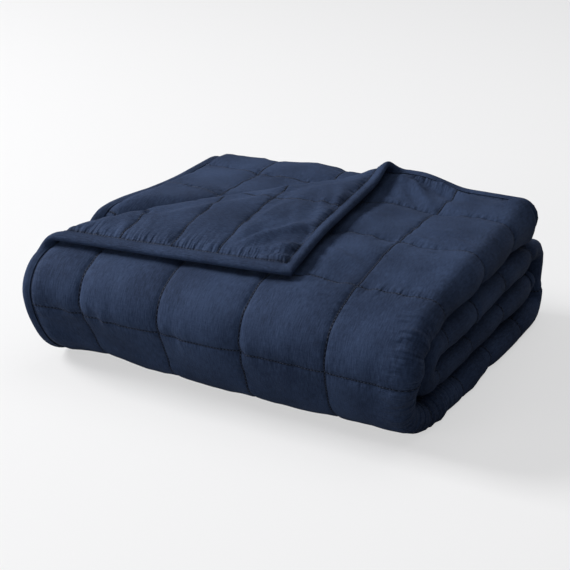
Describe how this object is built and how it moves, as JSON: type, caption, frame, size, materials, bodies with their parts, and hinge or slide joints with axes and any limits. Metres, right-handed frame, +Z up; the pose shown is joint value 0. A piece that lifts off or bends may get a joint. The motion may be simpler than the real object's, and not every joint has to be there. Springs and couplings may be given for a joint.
{
  "type": "weighted blanket",
  "caption": "Quilted weighted blanket with a bound edge, folded into a thick rounded rectangle; the top corner is turned back.",
  "frame": {"origin": "on the flat underside, near the middle of the folded blanket", "axes": "+X to the right along the rounded front, the longest side; +Y to the back; +Z up from the surface it lies on"},
  "size_m": [0.6429, 0.5555, 0.2486],
  "materials": {
    "quilted_cloth": "matte",
    "binding_cloth": "matte"
  },
  "bodies": {
    "root": {"quilted_pad": "quilted_cloth", "binding": "binding_cloth"}
  },
  "joints": []
}
